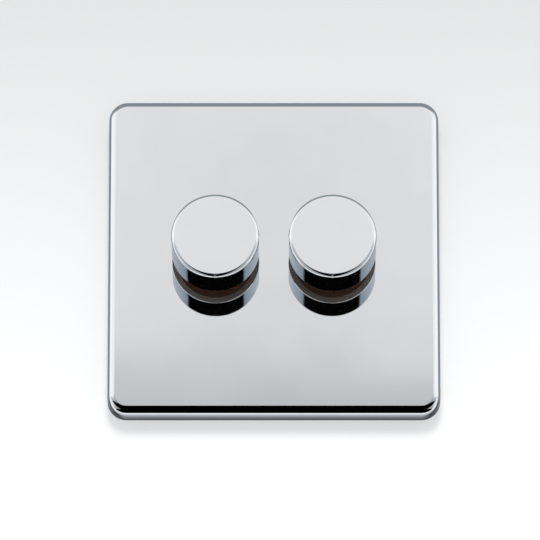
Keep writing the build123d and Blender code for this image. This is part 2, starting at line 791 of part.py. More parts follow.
with BuildPart() as choke_winding:
    with BuildSketch(Plane(origin=(0, 0, choke_z), x_dir=(1, 0, 0), z_dir=(0, 0, -1))):
        with Locations(((winding_inner + winding_outer) / 2, choke_front - choke_height / 2)):
            Rectangle(winding_outer - winding_inner, choke_height + 2 * winding_thickness)
            Rectangle(
                (choke_diameter - choke_bore) / 2 + part_fit,
                choke_height + part_fit,
                mode=Mode.SUBTRACT,
            )
    revolve(axis=Axis((0, 0, choke_z), (0, 1, 0)), revolution_arc=winding_angle)

# Terminal clamps: three brass blocks on the back of the board, with their wire bores along Z
with BuildPart() as terminal_clamps:
    with BuildSketch(facing(board_back)):
        with Locations(*[(x, terminal_bottom + terminal_length / 2) for x in terminal_places]):
            Rectangle(terminal_width, terminal_length)
    extrude(amount=-terminal_depth)
    with BuildSketch(Plane.XY.offset(terminal_bottom)):
        with Locations(*[(x, -terminal_bore_forward) for x in terminal_places]):
            Circle(terminal_bore / 2)
    extrude(amount=terminal_length, mode=Mode.SUBTRACT)
    with BuildSketch(facing(terminal_back)):
        with Locations(*[(x, terminal_bottom + terminal_length / 2) for x in terminal_places]):
            Circle(terminal_screw_diameter / 2 + part_fit / 2)
    extrude(amount=terminal_bore_forward - terminal_back, mode=Mode.SUBTRACT)

# Terminal screws, turned from the back through the holes in the case
with BuildPart() as terminal_screws:
    with BuildSketch(facing(terminal_back)):
        with Locations(*[(x, terminal_bottom + terminal_length / 2) for x in terminal_places]):
            Circle(terminal_screw_diameter / 2)
    extrude(amount=terminal_bore_forward - terminal_bore / 2 - touch_gap - terminal_back)
    with BuildSketch(facing(terminal_head_back)):
        with Locations(*[(x, terminal_bottom + terminal_length / 2) for x in terminal_places]):
            Circle(terminal_head_diameter / 2)
    extrude(amount=terminal_head)
    with BuildSketch(facing(terminal_head_back)):
        with Locations(*[(x, terminal_bottom + terminal_length / 2) for x in terminal_places]):
            Rectangle(terminal_head_diameter, screw_slot)
    extrude(amount=screw_slot_depth, mode=Mode.SUBTRACT)

# Write the shared pieces, then one copy of each gang piece for either side
os.makedirs("parts", exist_ok=True)
for piece in (cover_plate, clip_frame, mounting_yoke, fixing_screws, earth_clamp, earth_screw):
    export_step(piece.part, f"parts/{piece.part.label}.step")

gang_pieces = {
    "knob_cap": knob_cap,
    "knob_insert": knob_insert,
    "knob_clip": knob_clip,
    "spindle": spindle,
    "bush": bush,
    "lock_washer": lock_washer,
    "hex_nut": hex_nut,
    "heat_sink": heat_sink,
    "case_screws": case_screws,
    "rear_case": rear_case,
    "circuit_board": circuit_board,
    "pot_base": pot_base,
    "resistive_track": resistive_track,
    "rotor": rotor,
    "wiper": wiper,
    "switch_base": switch_base,
    "plunger": plunger,
    "contact_ring": contact_ring,
    "fixed_contacts": fixed_contacts,
    "return_spring": return_spring,
    "triac": triac,
    "capacitor": capacitor,
    "choke_core": choke_core,
    "choke_winding": choke_winding,
    "terminal_clamps": terminal_clamps,
    "terminal_screws": terminal_screws,
}
for side, place in zip(("left", "right"), shaft_places):
    for name, piece in gang_pieces.items():
        gang_copy = piece.part.moved(Location((place[0], 0, place[1])))
        gang_copy.label = f"{side}_{name}"
        export_step(gang_copy, f"parts/{side}_{name}.step")
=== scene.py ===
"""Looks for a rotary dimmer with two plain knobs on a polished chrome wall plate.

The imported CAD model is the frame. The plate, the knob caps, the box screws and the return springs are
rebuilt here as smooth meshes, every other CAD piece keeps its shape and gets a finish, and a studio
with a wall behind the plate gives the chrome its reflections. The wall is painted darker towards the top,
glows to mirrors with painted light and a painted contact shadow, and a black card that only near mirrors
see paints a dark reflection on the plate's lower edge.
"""

from __future__ import annotations

import json
import logging
import math
from dataclasses import dataclass, replace
from enum import Enum, IntEnum

import bmesh
import bpy
from mathutils import Matrix, Vector

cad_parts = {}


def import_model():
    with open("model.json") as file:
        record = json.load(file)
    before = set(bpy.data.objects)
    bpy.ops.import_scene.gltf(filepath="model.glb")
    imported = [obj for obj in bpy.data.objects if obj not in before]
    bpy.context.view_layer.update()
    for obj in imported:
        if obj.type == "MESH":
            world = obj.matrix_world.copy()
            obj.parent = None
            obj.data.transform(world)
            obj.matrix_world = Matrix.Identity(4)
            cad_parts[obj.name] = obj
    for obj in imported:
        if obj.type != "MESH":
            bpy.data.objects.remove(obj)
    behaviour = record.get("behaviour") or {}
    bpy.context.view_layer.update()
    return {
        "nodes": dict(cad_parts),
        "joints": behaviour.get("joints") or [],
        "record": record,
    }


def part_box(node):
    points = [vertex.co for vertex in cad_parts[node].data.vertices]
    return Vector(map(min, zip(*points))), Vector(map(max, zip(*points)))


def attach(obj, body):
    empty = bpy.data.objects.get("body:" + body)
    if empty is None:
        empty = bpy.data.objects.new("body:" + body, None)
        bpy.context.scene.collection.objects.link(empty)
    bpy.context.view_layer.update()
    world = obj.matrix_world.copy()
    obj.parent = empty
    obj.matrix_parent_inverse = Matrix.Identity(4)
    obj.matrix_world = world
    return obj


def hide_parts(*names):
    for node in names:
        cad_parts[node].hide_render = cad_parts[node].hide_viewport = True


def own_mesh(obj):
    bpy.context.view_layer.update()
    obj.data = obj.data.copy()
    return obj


LOG = logging.getLogger("dimmer")
MM = 0.001
ROOT_BODY = "wall_unit"
SHARP_ANGLE = math.radians(40.0)
MERGE_DISTANCE = 1e-7
SUPPORT = 0.03 * MM
ALONG_Y = (0.0, 1.0, 0.0)
BOTH_SIDES = (-1.0, 1.0)
UPRIGHT = Matrix.Rotation(math.pi / 2, 4, "X")
WHOLE_SPAN = (0.0, 1.0)
Colour = tuple[float, float, float]
Corner = tuple[float, float]


class Grain(Enum):
    """Fine structure that a finish shows on its surface."""

    MIRROR = "mirror"
    MOULDED = "moulded"
    BRUSHED = "brushed"
    TURNED = "turned"
    WOVEN = "woven"
    WOUND = "wound"


GRAIN_OCTAVES = {Grain.MIRROR: 1.0, Grain.MOULDED: 4.0, Grain.BRUSHED: 3.0}
GRAIN_SPAN = (0.25, 0.75)
BAND_AXES = {Grain.TURNED: ("Y",), Grain.WOVEN: ("X", "Z"), Grain.WOUND: ("Z",)}
BAND_DISTORTION = 0.6
BAND_OCTAVES = 1.0
BRUSH_STRETCH = (0.04, 1.0, 1.0)
TINT_SCALE = 90.0
TINT_OCTAVES = 3.0
TINT_SPAN = (0.3, 0.7)


class NodeSheet:
    """A node tree under construction, with short calls to add and join nodes."""

    def __init__(self, tree: bpy.types.NodeTree) -> None:
        """Take a tree and empty it.

        Args:
            tree: The node tree of a material or of the world.
        """
        self.tree = tree
        tree.nodes.clear()

    def add(self, kind: str, **settings: object) -> bpy.types.Node:
        """Add one node.

        Args:
            kind: Blender's name of the node type.
            settings: Attributes to set on the node.

        Returns:
            The new node.
        """
        node = self.tree.nodes.new(kind)
        for key, value in settings.items():
            setattr(node, key, value)
        return node

    def join(self, source: bpy.types.NodeSocket, target: bpy.types.NodeSocket) -> None:
        """Link an output socket to an input socket."""
        self.tree.links.new(source, target)

    def feed(self, target: bpy.types.NodeSocket, value: object) -> None:
        """Give an input socket its value.

        Args:
            target: The input socket.
            value: A socket to link, a colour, a number, or nothing to leave it as it is.
        """
        if isinstance(value, bpy.types.NodeSocket):
            self.join(value, target)
        elif isinstance(value, tuple):
            target.default_value = (*value, 1.0)
        elif value is not None:
            target.default_value = value

    def math(self, operation: str, first: object, second: object = None) -> bpy.types.NodeSocket:
        """Add a Math node.

        Args:
            operation: Name of the operation.
            first: A socket or a number.
            second: A socket, a number or nothing.

        Returns:
            The value socket of the node.
        """
        node = self.add("ShaderNodeMath", operation=operation)
        self.feed(node.inputs[0], first)
        self.feed(node.inputs[1], second)
        return node.outputs[0]

    def noise(self, vector: bpy.types.NodeSocket, scale: float, detail: float) -> bpy.types.NodeSocket:
        """Add a noise texture.

        Args:
            vector: Coordinates to read.
            scale: Cells per metre.
            detail: Octaves of finer noise.

        Returns:
            The grey value of the noise.
        """
        node = self.add("ShaderNodeTexNoise")
        node.inputs["Scale"].default_value = scale
        node.inputs["Detail"].default_value = detail
        self.join(vector, node.inputs["Vector"])
        return node.outputs[0]

    def spread(
        self,
        value: bpy.types.NodeSocket,
        source: tuple[float, float],
        target: tuple[float, float] = WHOLE_SPAN,
    ) -> bpy.types.NodeSocket:
        """Map a value smoothly from one range to another.

        Args:
            value: The socket to map.
            source: Range that is read.
            target: Range that is given.

        Returns:
            The mapped value.
        """
        node = self.add("ShaderNodeMapRange", interpolation_type="SMOOTHSTEP")
        for name, number in zip(("From Min", "From Max", "To Min", "To Max"), (*source, *target)):
            node.inputs[name].default_value = number
        self.join(value, node.inputs["Value"])
        return node.outputs[0]

    def mix(self, factor: bpy.types.NodeSocket, first: object, second: object) -> bpy.types.NodeSocket:
        """Mix two colours.

        Args:
            factor: Share of the second colour.
            first: A colour or a colour socket.
            second: A colour or a colour socket.

        Returns:
            The mixed colour.
        """
        node = self.add("ShaderNodeMix", data_type="RGBA")
        self.join(factor, node.inputs[0])
        self.feed(node.inputs[6], first)
        self.feed(node.inputs[7], second)
        return node.outputs[2]

    def either(
        self, factor: object, first: bpy.types.NodeSocket, second: bpy.types.NodeSocket
    ) -> bpy.types.NodeSocket:
        """Mix two shaders.

        Args:
            factor: Share of the second shader, as a socket or a number.
            first: A shader.
            second: A shader.

        Returns:
            The mixed shader.
        """
        node = self.add("ShaderNodeMixShader")
        self.feed(node.inputs[0], factor)
        self.join(first, node.inputs[1])
        self.join(second, node.inputs[2])
        return node.outputs[0]

    def glow(self, colour: bpy.types.NodeSocket) -> bpy.types.NodeSocket:
        """Add an emission of a colour.

        Args:
            colour: The colour.

        Returns:
            The shader.
        """
        node = self.add("ShaderNodeEmission")
        self.join(colour, node.inputs["Color"])
        return node.outputs[0]

    def surface(self, shader: bpy.types.NodeSocket) -> None:
        """Show a shader on the surface of the material."""
        self.join(shader, self.add("ShaderNodeOutputMaterial").inputs["Surface"])


def blank_material(name: str) -> tuple[bpy.types.Material, NodeSheet]:
    """Make a material with an empty node tree.

    Args:
        name: Name of the material.

    Returns:
        The material and its node tree.
    """
    made = bpy.data.materials.new(name)
    made.use_nodes = True
    return made, NodeSheet(made.node_tree)


@dataclass(frozen=True)
class Finish:
    """A finish of bare metal: two close tints, a range of roughness and a grain."""

    name: str
    tint: Colour
    second_tint: Colour
    roughness: tuple[float, float]
    grain_scale: float
    relief: float
    grain: Grain = Grain.BRUSHED
    metallic: float = 1.0
    coat: float = 0.0

    def material(self) -> bpy.types.Material:
        """Make the material, or give the one that was made before.

        Returns:
            The material of this finish.
        """
        ready = bpy.data.materials.get(self.name)
        if ready is not None:
            return ready
        made, sheet = blank_material(self.name)
        place = sheet.add("ShaderNodeTexCoord").outputs["Object"]
        shader = sheet.add("ShaderNodeBsdfPrincipled")
        shader.inputs["Metallic"].default_value = self.metallic
        shader.inputs["Coat Weight"].default_value = self.coat
        blend = sheet.spread(sheet.noise(place, TINT_SCALE, TINT_OCTAVES), TINT_SPAN)
        sheet.join(sheet.mix(blend, self.tint, self.second_tint), shader.inputs["Base Color"])
        grain = self.grain_value(sheet, place)
        sheet.join(sheet.spread(grain, GRAIN_SPAN, self.roughness), shader.inputs["Roughness"])
        bump = sheet.add("ShaderNodeBump")
        bump.inputs["Strength"].default_value = 1.0
        bump.inputs["Distance"].default_value = self.relief
        sheet.join(grain, bump.inputs["Height"])
        sheet.join(bump.outputs["Normal"], shader.inputs["Normal"])
        sheet.surface(shader.outputs["BSDF"])
        return made

    def grain_value(self, sheet: NodeSheet, place: bpy.types.NodeSocket) -> bpy.types.NodeSocket:
        """Make the grey pattern of the grain.

        Args:
            sheet: Node tree to add to.
            place: Object coordinates.

        Returns:
            A value from 0 to 1.
        """
        if self.grain in BAND_AXES:
            bands = [self.wave(sheet, place, axis) for axis in BAND_AXES[self.grain]]
            return bands[0] if len(bands) == 1 else sheet.math("MULTIPLY", *bands)
        if self.grain is Grain.BRUSHED:
            stretch = sheet.add("ShaderNodeMapping")
            stretch.inputs["Scale"].default_value = BRUSH_STRETCH
            sheet.join(place, stretch.inputs["Vector"])
            place = stretch.outputs["Vector"]
        return sheet.noise(place, self.grain_scale, GRAIN_OCTAVES[self.grain])

    def wave(self, sheet: NodeSheet, place: bpy.types.NodeSocket, axis: str) -> bpy.types.NodeSocket:
        """Make an even wave along one axis.

        Args:
            sheet: Node tree to add to.
            place: Object coordinates.
            axis: Axis that the bands cross.

        Returns:
            A value from 0 to 1.
        """
        node = sheet.add("ShaderNodeTexWave", wave_type="BANDS", bands_direction=axis)
        node.inputs["Scale"].default_value = self.grain_scale
        node.inputs["Distortion"].default_value = BAND_DISTORTION
        node.inputs["Detail"].default_value = BAND_OCTAVES
        sheet.join(place, node.inputs["Vector"])
        return node.outputs[1]


@dataclass(frozen=True)
class NonMetal(Finish):
    """A finish of plastic, paint, carbon or epoxy."""

    grain: Grain = Grain.MOULDED
    metallic: float = 0.0


PLATE_CHROME = Finish(
    "plate_chrome_polished", (0.80, 0.81, 0.82), (0.82, 0.825, 0.83),
    roughness=(0.02, 0.04), grain_scale=26.0, relief=6e-5, grain=Grain.MIRROR,
)
KNOB_CHROME = Finish(
    "knob_chrome_polished", (0.85, 0.855, 0.865), (0.87, 0.872, 0.88),
    roughness=(0.015, 0.03), grain_scale=40.0, relief=2e-5, grain=Grain.MIRROR,
)
KNOB_WALL = replace(KNOB_CHROME, name="knob_wall_polished", grain_scale=190.0, relief=2.5e-5)
KNOB_FOOT = Finish(
    "knob_foot_satin", (0.40, 0.35, 0.31), (0.44, 0.39, 0.35),
    roughness=(0.5, 0.62), grain_scale=900.0, relief=1e-5, grain=Grain.MOULDED, metallic=0.35,
)
ZINC_YOKE = Finish(
    "yoke_zinc", (0.60, 0.61, 0.61), (0.68, 0.67, 0.62),
    roughness=(0.28, 0.42), grain_scale=900.0, relief=2e-5,
)
ZINC_SCREW = Finish(
    "screw_zinc", (0.66, 0.66, 0.65), (0.72, 0.70, 0.64),
    roughness=(0.22, 0.34), grain_scale=900.0, relief=1e-5, grain=Grain.TURNED,
)
SPRING_STEEL = Finish(
    "spring_bright_steel", (0.50, 0.50, 0.51), (0.58, 0.58, 0.58),
    roughness=(0.25, 0.35), grain_scale=1500.0, relief=1e-5,
)
TURNED_ALUMINIUM = Finish(
    "spindle_turned_aluminium", (0.74, 0.74, 0.75), (0.80, 0.80, 0.81),
    roughness=(0.25, 0.38), grain_scale=900.0, relief=1.5e-5, grain=Grain.TURNED,
)
MILL_ALUMINIUM = Finish(
    "heat_sink_mill_aluminium", (0.68, 0.69, 0.70), (0.76, 0.77, 0.78),
    roughness=(0.32, 0.48), grain_scale=800.0, relief=2e-5,
)
NICKEL_BUSH = Finish(
    "bush_nickel", (0.68, 0.66, 0.60), (0.74, 0.72, 0.66),
    roughness=(0.2, 0.3), grain_scale=320.0, relief=6e-5, grain=Grain.TURNED,
)
NICKEL_NUT = Finish(
    "nut_nickel", (0.70, 0.68, 0.62), (0.76, 0.74, 0.68),
    roughness=(0.2, 0.32), grain_scale=900.0, relief=1.5e-5, grain=Grain.TURNED,
)
CLAMP_BRASS = Finish(
    "terminal_brass", (0.76, 0.60, 0.30), (0.84, 0.70, 0.40),
    roughness=(0.25, 0.4), grain_scale=900.0, relief=1.5e-5,
)
CONTACT_COPPER = Finish(
    "contact_copper", (0.74, 0.44, 0.28), (0.82, 0.54, 0.38),
    roughness=(0.25, 0.36), grain_scale=900.0, relief=1e-5,
)
WOUND_COPPER = Finish(
    "choke_enamelled_copper", (0.58, 0.26, 0.11), (0.70, 0.36, 0.16),
    roughness=(0.22, 0.34), grain_scale=330.0, relief=1.2e-4, grain=Grain.WOUND, metallic=0.9,
)
PAINTED_IRON = NonMetal(
    "choke_painted_iron", (0.70, 0.62, 0.20), (0.78, 0.70, 0.28),
    roughness=(0.4, 0.55), grain_scale=1200.0, relief=3e-5,
)
FRAME_MOULDING = NonMetal(
    "frame_black_moulding", (0.030, 0.031, 0.033), (0.042, 0.043, 0.046),
    roughness=(0.48, 0.62), grain_scale=2600.0, relief=2.5e-5,
)
INSERT_MOULDING = NonMetal(
    "insert_brown_moulding", (0.27, 0.12, 0.067), (0.30, 0.144, 0.086),
    roughness=(0.5, 0.62), grain_scale=2600.0, relief=2e-5,
)
CASE_MOULDING = NonMetal(
    "case_pale_moulding", (0.60, 0.60, 0.57), (0.65, 0.65, 0.62),
    roughness=(0.45, 0.6), grain_scale=2200.0, relief=3e-5,
)
INNER_MOULDING = NonMetal(
    "switch_dark_moulding", (0.03, 0.03, 0.034), (0.045, 0.045, 0.05),
    roughness=(0.42, 0.55), grain_scale=2600.0, relief=2e-5,
)
ROTOR_MOULDING = NonMetal(
    "rotor_cream_moulding", (0.72, 0.70, 0.60), (0.78, 0.76, 0.67),
    roughness=(0.38, 0.5), grain_scale=2600.0, relief=1.5e-5,
)
CARBON_TRACK = NonMetal(
    "track_carbon", (0.012, 0.012, 0.012), (0.022, 0.022, 0.022),
    roughness=(0.5, 0.7), grain_scale=4000.0, relief=1e-5,
)
BOARD_MASK = NonMetal(
    "board_green_mask", (0.020, 0.105, 0.045), (0.028, 0.135, 0.06),
    roughness=(0.28, 0.4), grain_scale=420.0, relief=1.5e-5, grain=Grain.WOVEN,
)
EPOXY_BODY = NonMetal(
    "triac_black_epoxy", (0.018, 0.018, 0.02), (0.03, 0.03, 0.032),
    roughness=(0.45, 0.6), grain_scale=3000.0, relief=2e-5,
)
DIPPED_FILM = NonMetal(
    "capacitor_dipped", (0.62, 0.40, 0.05), (0.70, 0.47, 0.08),
    roughness=(0.16, 0.26), grain_scale=700.0, relief=3e-5, coat=0.4,
)

SLOT_FINISH: dict[str, Finish] = {
    "plate_chrome": PLATE_CHROME,
    "knob_chrome": KNOB_CHROME,
    "frame_moulding": FRAME_MOULDING,
    "insert_moulding": INSERT_MOULDING,
    "yoke_steel": ZINC_YOKE,
    "screw_steel": ZINC_SCREW,
    "spring_steel": SPRING_STEEL,
    "spindle_aluminium": TURNED_ALUMINIUM,
    "bush_brass": NICKEL_BUSH,
    "nut_brass": NICKEL_NUT,
    "sink_aluminium": MILL_ALUMINIUM,
    "case_moulding": CASE_MOULDING,
    "board_laminate": BOARD_MASK,
    "dark_moulding": INNER_MOULDING,
    "rotor_moulding": ROTOR_MOULDING,
    "track_carbon": CARBON_TRACK,
    "contact_copper": CONTACT_COPPER,
    "device_epoxy": EPOXY_BODY,
    "capacitor_film": DIPPED_FILM,
    "choke_iron": PAINTED_IRON,
    "winding_copper": WOUND_COPPER,
    "terminal_brass": CLAMP_BRASS,
}


def piece_from(bm: bmesh.types.BMesh, name: str, finish: Finish) -> bpy.types.Object:
    """Turn a finished bmesh into an object with smooth faces and sharp corners.

    Args:
        bm: The mesh, which is freed.
        name: Name of the new object.
        finish: Finish that the piece gets.

    Returns:
        The new object, linked to the scene.
    """
    for face in bm.faces:
        face.smooth = True
    for edge in bm.edges:
        turned = len(edge.link_faces) == 2 and edge.calc_face_angle(0.0) > SHARP_ANGLE
        edge.smooth = not turned
    mesh = bpy.data.meshes.new(name)
    bm.to_mesh(mesh)
    bm.free()
    piece = bpy.data.objects.new(name, mesh)
    bpy.context.scene.collection.objects.link(piece)
    mesh.materials.append(finish.material())
    LOG.info("%s: %d faces", name, len(mesh.polygons))
    return piece


def settle(piece: bpy.types.Object) -> None:
    """Apply the modifiers of a piece to its mesh.

    Args:
        piece: The piece, which is left without modifiers.
    """
    bpy.context.view_layer.update()
    graph = bpy.context.evaluated_depsgraph_get()
    mesh = bpy.data.meshes.new_from_object(piece.evaluated_get(graph))
    piece.modifiers.clear()
    old = piece.data
    piece.data = mesh
    bpy.data.meshes.remove(old)


def place_on(piece: bpy.types.Object, body: str, node: str) -> None:
    """Let a piece stand for a CAD node.

    Args:
        piece: The new piece.
        body: Body that it moves with.
        node: CAD node that it stands for.
    """
    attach(piece, body)
    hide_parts(node)


def middle_axis(low: Vector, high: Vector) -> Vector:
    """Give the point on the wall plane at the middle of a box."""
    return Vector(((low.x + high.x) / 2, 0.0, (low.z + high.z) / 2))


def spun_profile(bm: bmesh.types.BMesh, points: list[Corner], place: Vector, steps: int) -> None:
    """Spin a profile of radius and forward distance round an axis along Y.

    Args:
        bm: Mesh to add to.
        points: Radius and distance forward of the wall, in metres.
        place: A point on the axis.
        steps: Steps of the full turn.
    """
    verts = [bm.verts.new((place.x + radius, -forward, place.z)) for radius, forward in points]
    edges = [bm.edges.new(pair) for pair in zip(verts, verts[1:])]
    bmesh.ops.spin(
        bm,
        geom=[*verts, *edges],
        cent=place,
        axis=ALONG_Y,
        angle=math.tau,
        steps=steps,
        use_merge=True,
        use_duplicate=False,
    )
    bmesh.ops.remove_doubles(bm, verts=bm.verts[:], dist=MERGE_DISTANCE)
    bmesh.ops.recalc_face_normals(bm, faces=bm.faces[:])


def wound_section(
    bm: bmesh.types.BMesh,
    section: list[bmesh.types.BMFace],
    place: Vector,
    pitch: float,
    turns: int,
    steps: int,
) -> None:
    """Wind a section into a helix that comes forward along Y.

    Args:
        bm: Mesh to add to.
        section: The face to wind, which becomes one end of the helix.
        place: A point on the axis.
        pitch: Distance forward in one turn.
        turns: Number of turns.
        steps: Steps of one turn.
    """
    bmesh.ops.spin(
        bm,
        geom=section,
        cent=place,
        axis=ALONG_Y,
        dvec=(0.0, -pitch / steps, 0.0),
        angle=math.tau * turns,
        steps=steps * turns,
        use_merge=False,
        use_duplicate=False,
    )


def arc(centre: Corner, radius: float, start: float, end: float, steps: int) -> list[Corner]:
    """Points of a rounded corner in a profile.

    Args:
        centre: Centre of the arc.
        radius: Radius of the arc.
        start: First angle in degrees, from the direction of growing radius.
        end: Last angle in degrees.
        steps: Steps between them.

    Returns:
        The points, both ends included.
    """
    turns = [math.radians(start + (end - start) * step / steps) for step in range(steps + 1)]
    return [(centre[0] + radius * math.cos(t), centre[1] + radius * math.sin(t)) for t in turns]


@dataclass
class CoverPlate:
    """The pressed chrome plate, as a smooth shell with a rolled edge and four snap ribs."""

    low: Vector
    high: Vector
    shafts: list[Vector]
    sheet: float = 1.0 * MM
    corner_radius: float = 5.0 * MM
    edge_radius: float = 2.0 * MM
    hole_radius: float = 6.25 * MM
    rib_length: float = 9.0 * MM
    rib_depth: float = 0.4 * MM
    rib_root: float = 0.5 * MM
    rib_height: float = 0.6 * MM
    rib_back: float = 0.6 * MM
    rib_spacing: float = 44.0 * MM
    corner_steps: int = 24
    edge_steps: int = 14
    hole_steps: int = 96

    @property
    def half(self) -> float:
        """Half of the plate's width."""
        return (self.high.x - self.low.x) / 2

    @property
    def depth(self) -> float:
        """Distance from the wall to the flat front."""
        return self.high.y - self.low.y

    def rim(self, bm: bmesh.types.BMesh) -> bmesh.types.BMFace:
        """Raise the side wall and the rolled edge from a rounded square.

        Args:
            bm: Empty mesh.

        Returns:
            The flat face in front, inside the rolled edge.
        """
        bmesh.ops.create_grid(bm, x_segments=1, y_segments=1, size=self.half, matrix=UPRIGHT)
        bmesh.ops.bevel(
            bm,
            geom=bm.verts[:],
            offset=self.corner_radius,
            offset_type="OFFSET",
            segments=self.corner_steps,
            profile=0.5,
            affect="VERTICES",
            material=-1,
        )
        face = bm.faces[:][0]
        for rise in (SUPPORT, self.depth - self.edge_radius - SUPPORT):
            face = self.raised(bm, face, rise)
        turns = [step * math.pi / 2 / self.edge_steps for step in range(self.edge_steps + 1)]
        for before, after in zip(turns, turns[1:]):
            self.drawn_in(bm, face, self.edge_radius * (math.cos(before) - math.cos(after)))
            forwards = self.edge_radius * (math.sin(after) - math.sin(before))
            bmesh.ops.translate(bm, verts=face.verts[:], vec=(0.0, -forwards, 0.0))
        self.drawn_in(bm, face, SUPPORT)
        return face

    def drawn_in(self, bm: bmesh.types.BMesh, face: bmesh.types.BMFace, inset: float) -> None:
        """Draw the border of a face inwards."""
        bmesh.ops.inset_region(bm, faces=[face], thickness=inset, use_boundary=True, use_even_offset=True)

    def raised(self, bm: bmesh.types.BMesh, face: bmesh.types.BMFace, rise: float) -> bmesh.types.BMFace:
        """Extrude a face forward and remove the one that it leaves behind.

        Args:
            bm: Mesh to work on.
            face: Face to extrude.
            rise: Distance forward.

        Returns:
            The face at the new place.
        """
        made = bmesh.ops.extrude_face_region(bm, geom=[face])["geom"]
        moved = [item for item in made if isinstance(item, bmesh.types.BMVert)]
        front = next(item for item in made if isinstance(item, bmesh.types.BMFace))
        bmesh.ops.translate(bm, verts=moved, vec=(0.0, -rise, 0.0))
        if face.is_valid:
            bmesh.ops.delete(bm, geom=[face], context="FACES_ONLY")
        return front

    def pierce(self, bm: bmesh.types.BMesh, face: bmesh.types.BMFace) -> None:
        """Fill the flat front again, round the shaft holes.

        Args:
            bm: Mesh to work on.
            face: The flat front, which is removed.
        """
        edges = list(face.edges)
        bmesh.ops.delete(bm, geom=[face], context="FACES_ONLY")
        for shaft in self.shafts:
            place = Matrix.Translation((shaft.x, -self.depth, shaft.z)) @ UPRIGHT
            loops = []
            for radius in (self.hole_radius, self.hole_radius + SUPPORT):
                ring = bmesh.ops.create_circle(
                    bm, cap_ends=False, radius=radius, segments=self.hole_steps, matrix=place
                )
                loops.append(list({edge for vert in ring["verts"] for edge in vert.link_edges}))
            bmesh.ops.bridge_loops(bm, edges=[*loops[0], *loops[1]])
            edges += loops[1]
        bmesh.ops.triangle_fill(
            bm, use_beauty=True, use_dissolve=False, edges=edges, normal=(0.0, -1.0, 0.0)
        )

    def add_ribs(self, piece: bpy.types.Object) -> None:
        """Set four snap ribs on the inside of the left and right walls, rooted in the sheet.

        Args:
            piece: The shell of the plate.
        """
        bm = bmesh.new()
        bm.from_mesh(piece.data)
        across = self.half - self.sheet + (self.rib_root - self.rib_depth) / 2
        size = Matrix.Diagonal((self.rib_depth + self.rib_root, self.rib_height, self.rib_length, 1.0))
        for side in BOTH_SIDES:
            for end in BOTH_SIDES:
                forward = self.rib_back + self.rib_height / 2
                centre = (side * across, -forward, end * self.rib_spacing / 2)
                bmesh.ops.create_cube(bm, size=1.0, matrix=Matrix.Translation(centre) @ size)
        bm.to_mesh(piece.data)
        bm.free()

    def build(self) -> bpy.types.Object:
        """Make the plate.

        Returns:
            The piece that stands for the CAD cover.
        """
        bm = bmesh.new()
        self.pierce(bm, self.rim(bm))
        bmesh.ops.recalc_face_normals(bm, faces=bm.faces[:])
        flat = max(bm.faces, key=lambda item: item.calc_area())
        if flat.normal.y > 0.0:
            bmesh.ops.reverse_faces(bm, faces=bm.faces[:])
        piece = piece_from(bm, "plate_shell", PLATE_CHROME)
        wall = piece.modifiers.new("sheet", "SOLIDIFY")
        wall.thickness = self.sheet
        wall.offset = -1.0
        wall.use_even_offset = True
        settle(piece)
        self.add_ribs(piece)
        place_on(piece, ROOT_BODY, "cover_plate")
        return piece


class CapZone(IntEnum):
    """Zones of a knob cap, in the order of its materials."""

    CROWN = 0
    FOOT = 1
    WALL = 2


@dataclass
class KnobCap:
    """One plain cylindrical knob cap with a small rounded rim."""

    side: str
    low: Vector
    high: Vector
    wall: float = 1.5 * MM
    crown: float = 1.8 * MM
    rim_radius: float = 0.9 * MM
    rim_steps: int = 12
    foot_radius: float = 0.3 * MM
    foot_steps: int = 6
    foot_facing: float = 0.9
    wall_facing: float = 0.02
    steps: int = 192

    @property
    def radius(self) -> float:
        """Outer radius of the cup."""
        return (self.high.x - self.low.x) / 2

    def profile(self) -> list[Corner]:
        """Outline of the cup from the inner axis point to the outer one.

        Returns:
            Radius and distance forward of the wall of each corner.
        """
        foot = -self.high.y
        front = -self.low.y
        ceiling = front - self.crown
        inner = self.radius - self.wall
        foot_centre = (self.radius - self.foot_radius, foot + self.foot_radius)
        rim_centre = (self.radius - self.rim_radius, front - self.rim_radius)
        return [
            (0.0, ceiling),
            (inner, ceiling),
            (inner, foot),
            *arc(foot_centre, self.foot_radius, -90.0, 0.0, self.foot_steps),
            (self.radius, foot_centre[1] + SUPPORT),
            (self.radius, rim_centre[1] - SUPPORT),
            *arc(rim_centre, self.rim_radius, 0.0, 90.0, self.rim_steps),
            (rim_centre[0] - SUPPORT, front),
            (0.0, front),
        ]

    def zone(self, face: bmesh.types.BMFace) -> CapZone:
        """Tell which zone of the cap a face belongs to.

        Args:
            face: A face of the cap.

        Returns:
            Its zone.
        """
        centre = face.calc_center_median()
        if face.normal.y > self.foot_facing and centre.y > self.high.y - SUPPORT:
            return CapZone.FOOT
        out = (centre - middle_axis(self.low, self.high)).xz.length
        if abs(face.normal.y) < self.wall_facing and out > self.radius - SUPPORT:
            return CapZone.WALL
        return CapZone.CROWN

    def build(self) -> bpy.types.Object:
        """Make the cap where its CAD node is.

        Returns:
            The piece that stands for the CAD cap.
        """
        bm = bmesh.new()
        spun_profile(bm, self.profile(), middle_axis(self.low, self.high), self.steps)
        for face in bm.faces:
            face.material_index = self.zone(face)
        piece = piece_from(bm, f"{self.side}_cap_shell", KNOB_CHROME)
        for finish in (KNOB_FOOT, KNOB_WALL):
            piece.data.materials.append(finish.material())
        place_on(piece, f"{self.side}_knob", f"{self.side}_knob_cap")
        return piece


